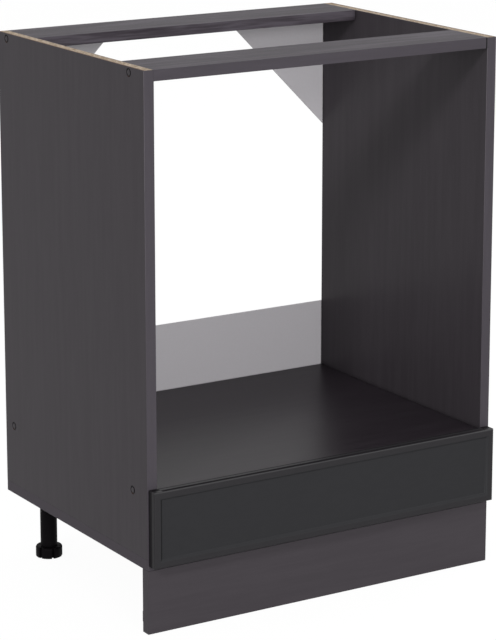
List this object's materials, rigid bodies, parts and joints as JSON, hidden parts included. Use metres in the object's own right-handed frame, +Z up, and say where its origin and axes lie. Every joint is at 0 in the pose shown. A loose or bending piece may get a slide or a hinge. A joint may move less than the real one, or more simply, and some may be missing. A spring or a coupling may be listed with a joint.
{
  "type": "oven housing unit",
  "caption": "Open base cabinet for a built-in oven, with a shallow roller-runner drawer under the oven shelf, a clip-on plinth and screw feet.",
  "frame": {"origin": "on the floor, under the middle of the whole unit's box", "axes": "+Z up, -Y the front with the drawer, +X to the right seen from the front"},
  "size_m": [0.6, 0.46, 0.816],
  "materials": {
    "carcass_board": "graphite melamine-faced chipboard, fine wood texture, satin",
    "edge_band": "graphite edge band, satin",
    "grey_hardboard": "light grey painted hardboard, matt",
    "front_board": "anthracite foil on fibreboard, silk matt",
    "plinth_board": "graphite melamine-faced chipboard, satin",
    "drawer_board": "light grey melamine-faced chipboard",
    "drawer_hardboard": "light grey painted hardboard",
    "runner_steel": "powder coated steel sheet",
    "zinc_steel": "zinc plated",
    "beech": "plain beech, fluted",
    "cap_plastic": "graphite plastic",
    "roller_plastic": "white nylon",
    "leg_plastic": "black moulded plastic, satin",
    "clip_plastic": "black moulded plastic, satin",
    "soft_buffer": "soft clear plastic"
  },
  "bodies": {
    "carcass": {"left_side_panel": "carcass_board", "right_side_panel": "carcass_board", "bottom_board": "carcass_board", "oven_shelf": "carcass_board", "front_top_rail": "carcass_board", "rear_top_rail": "carcass_board", "left_edge_band": "edge_band", "right_edge_band": "edge_band", "bottom_edge_band": "edge_band", "shelf_edge_band": "edge_band", "top_rail_edge_band": "edge_band", "back_strip": "grey_hardboard", "left_corner_brace": "grey_hardboard", "right_corner_brace": "grey_hardboard", "left_cabinet_runner": "runner_steel", "right_cabinet_runner": "runner_steel", "rail_screws": "zinc_steel", "shelf_screws": "zinc_steel", "bottom_screws": "zinc_steel", "cabinet_runner_screws": "zinc_steel", "front_roller_axles": "zinc_steel", "board_dowels": "beech", "screw_cover_caps": "cap_plastic", "front_left_leg_socket": "leg_plastic", "front_left_leg_tube": "leg_plastic", "front_right_leg_socket": "leg_plastic", "front_right_leg_tube": "leg_plastic", "rear_left_leg_socket": "leg_plastic", "rear_left_leg_tube": "leg_plastic", "rear_right_leg_socket": "leg_plastic", "rear_right_leg_tube": "leg_plastic"},
    "plinth": {"plinth_panel": "plinth_board", "left_plinth_clip": "clip_plastic", "right_plinth_clip": "clip_plastic", "plinth_clip_screws": "zinc_steel"},
    "drawer": {"drawer_front": "front_board", "drawer_left_side": "drawer_board", "drawer_right_side": "drawer_board", "drawer_inner_front": "drawer_board", "drawer_back": "drawer_board", "drawer_bottom": "drawer_hardboard", "left_drawer_runner": "runner_steel", "right_drawer_runner": "runner_steel", "drawer_runner_screws": "zinc_steel", "drawer_box_screws": "zinc_steel", "drawer_front_screws": "zinc_steel", "rear_roller_axles": "zinc_steel", "drawer_buffers": "soft_buffer"},
    "left_front_roller": {"left_front_roller": "roller_plastic"},
    "right_front_roller": {"right_front_roller": "roller_plastic"},
    "left_rear_roller": {"left_rear_roller": "roller_plastic"},
    "right_rear_roller": {"right_rear_roller": "roller_plastic"},
    "front_left_foot": {"front_left_screw_foot": "leg_plastic"},
    "front_right_foot": {"front_right_screw_foot": "leg_plastic"},
    "rear_left_foot": {"rear_left_screw_foot": "leg_plastic"},
    "rear_right_foot": {"rear_right_screw_foot": "leg_plastic"}
  },
  "joints": [
    {"name": "drawer_slide", "type": "slide", "parent": "carcass", "child": "drawer", "axis": [0, -1, 0], "range_m": [0, 0.3]},
    {"name": "plinth_unclip", "type": "slide", "parent": "carcass", "child": "plinth", "axis": [0, -1, 0], "range_m": [0, 0.05]},
    {"name": "left_front_roller_turn", "type": "hinge", "parent": "carcass", "child": "left_front_roller", "pos_m": [-0.2789, -0.198, 0.1355], "axis": [1, 0, 0], "continuous": true},
    {"name": "left_rear_roller_turn", "type": "hinge", "parent": "drawer", "child": "left_rear_roller", "pos_m": [-0.2766, 0.174, 0.1327], "axis": [1, 0, 0], "continuous": true},
    {"name": "right_front_roller_turn", "type": "hinge", "parent": "carcass", "child": "right_front_roller", "pos_m": [0.2789, -0.198, 0.1355], "axis": [1, 0, 0], "continuous": true},
    {"name": "right_rear_roller_turn", "type": "hinge", "parent": "drawer", "child": "right_rear_roller", "pos_m": [0.2766, 0.174, 0.1327], "axis": [1, 0, 0], "continuous": true},
    {"name": "front_left_foot_screw", "type": "slide", "parent": "carcass", "child": "front_left_foot", "axis": [0, 0, -1], "range_m": [0, 0.02]},
    {"name": "front_right_foot_screw", "type": "slide", "parent": "carcass", "child": "front_right_foot", "axis": [0, 0, -1], "range_m": [0, 0.02]},
    {"name": "rear_left_foot_screw", "type": "slide", "parent": "carcass", "child": "rear_left_foot", "axis": [0, 0, -1], "range_m": [0, 0.02]},
    {"name": "rear_right_foot_screw", "type": "slide", "parent": "carcass", "child": "rear_right_foot", "axis": [0, 0, -1], "range_m": [0, 0.02]}
  ],
  "couplings": [
    {"joint": "left_front_roller_turn", "follows": "drawer_slide", "rad_per_m": 108.7},
    {"joint": "right_front_roller_turn", "follows": "drawer_slide", "rad_per_m": 108.7},
    {"joint": "left_rear_roller_turn", "follows": "drawer_slide", "rad_per_m": 108.7},
    {"joint": "right_rear_roller_turn", "follows": "drawer_slide", "rad_per_m": 108.7}
  ]
}
